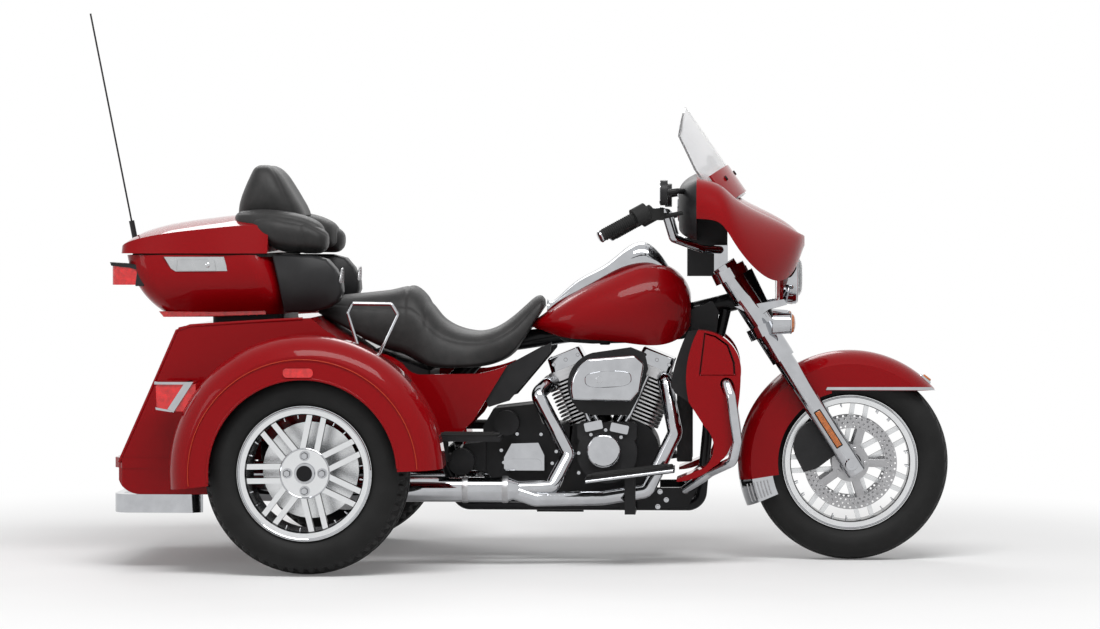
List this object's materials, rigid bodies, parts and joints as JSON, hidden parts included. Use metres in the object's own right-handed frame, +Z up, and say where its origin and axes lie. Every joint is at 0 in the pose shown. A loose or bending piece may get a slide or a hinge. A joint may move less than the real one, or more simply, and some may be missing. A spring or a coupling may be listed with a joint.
{
  "type": "motorized touring trike",
  "caption": "Touring motor trike: steered front wheel under a fork-mounted fairing, V-twin engine, stepped seat, trunk body between fendered rear wheels and a luggage case with backrest.",
  "frame": {"origin": "on the ground, in the middle of the bounding box", "axes": "+X forward, +Y the rider's left, +Z up"},
  "size_m": [2.8398, 1.398, 1.7865],
  "materials": {
    "red_paint": "gloss",
    "black_paint": "gloss",
    "black_plastic": "satin",
    "chrome": "polished",
    "cast_black": "wrinkle",
    "bare_alloy": "machined",
    "steel": "brushed",
    "tyre": "matte",
    "rubber": "matte",
    "seat_cover": "grain",
    "smoke_screen": "smoked",
    "lamp_red": "lens",
    "lamp_clear": "lens"
  },
  "bodies": {
    "chassis": {"frame_spine": "black_paint", "frame_cradle": "black_paint", "engine_cases": "cast_black", "cylinders": "cast_black", "rocker_covers": "chrome", "pushrod_tubes": "chrome", "air_cleaner_cover": "chrome", "air_cleaner_base": "black_plastic", "engine_covers": "chrome", "primary_cover": "chrome", "exhaust_right": "chrome", "exhaust_left": "chrome", "fuel_tank": "red_paint", "tank_console": "chrome", "seat": "seat_cover", "rear_body": "red_paint", "side_panels": "red_paint", "deflectors": "black_plastic", "rear_fender_right": "red_paint", "rear_fender_left": "red_paint", "rear_axle": "cast_black", "rear_bumper": "chrome", "case_base": "red_paint", "case_rack": "black_plastic", "speaker_pods": "black_plastic", "fender_lamps": "lamp_red", "case_lamps": "lamp_red", "antenna": "black_plastic", "grab_rails": "chrome", "engine_guard": "chrome", "lower_fairing_right": "red_paint", "lower_fairing_left": "red_paint", "rider_boards": "chrome", "passenger_boards": "chrome"},
    "steering": {"fork_yokes": "chrome", "fork_legs": "chrome", "front_axle": "steel", "front_fender": "red_paint", "fender_tail": "chrome", "front_calipers": "cast_black", "fairing_shell": "red_paint", "fairing_inner": "black_plastic", "windshield": "smoke_screen", "headlamp": "lamp_clear", "signal_bar": "chrome", "handlebar": "chrome", "hand_controls": "rubber", "mirrors": "black_plastic"},
    "front_wheel": {"front_tyre": "tyre", "front_rim": "bare_alloy", "front_discs": "steel"},
    "rear_wheel_right": {"rear_tyre_right": "tyre", "rear_rim_right": "bare_alloy"},
    "rear_wheel_left": {"rear_tyre_left": "tyre", "rear_rim_left": "bare_alloy"},
    "case_lid": {"case_lid": "red_paint", "backrest": "seat_cover"},
    "trunk_lid": {"trunk_lid": "red_paint"},
    "glove_door_right": {"glove_door_right": "red_paint"},
    "glove_door_left": {"glove_door_left": "red_paint"}
  },
  "joints": [
    {"name": "steering", "type": "hinge", "parent": "chassis", "child": "steering", "pos_m": [0.83723, 0, 0.752], "axis": [-0.4384, 0, 0.8988], "range_deg": [-32, 32]},
    {"name": "front_wheel_spin", "type": "hinge", "parent": "steering", "child": "front_wheel", "pos_m": [1.104, 0, 0.316], "axis": [0, 1, 0], "continuous": true},
    {"name": "rear_wheel_right_spin", "type": "hinge", "parent": "chassis", "child": "rear_wheel_right", "pos_m": [-0.586, -0.557, 0.318], "axis": [0, 1, 0], "continuous": true},
    {"name": "rear_wheel_left_spin", "type": "hinge", "parent": "chassis", "child": "rear_wheel_left", "pos_m": [-0.586, 0.557, 0.318], "axis": [0, 1, 0], "continuous": true},
    {"name": "case_lid_hinge", "type": "hinge", "parent": "chassis", "child": "case_lid", "pos_m": [-0.971, 0.338, 0.99], "axis": [-1, 0, 0], "range_deg": [0, 75]},
    {"name": "trunk_lid_hinge", "type": "hinge", "parent": "chassis", "child": "trunk_lid", "pos_m": [-0.988, 0, 0.743], "axis": [0, 1, 0], "range_deg": [0, 60]},
    {"name": "glove_door_right_hinge", "type": "hinge", "parent": "chassis", "child": "glove_door_right", "pos_m": [0.676, -0.309, 0.612], "axis": [1, 0, 0], "range_deg": [0, 50]},
    {"name": "glove_door_left_hinge", "type": "hinge", "parent": "chassis", "child": "glove_door_left", "pos_m": [0.676, 0.309, 0.612], "axis": [-1, 0, 0], "range_deg": [0, 50]}
  ]
}
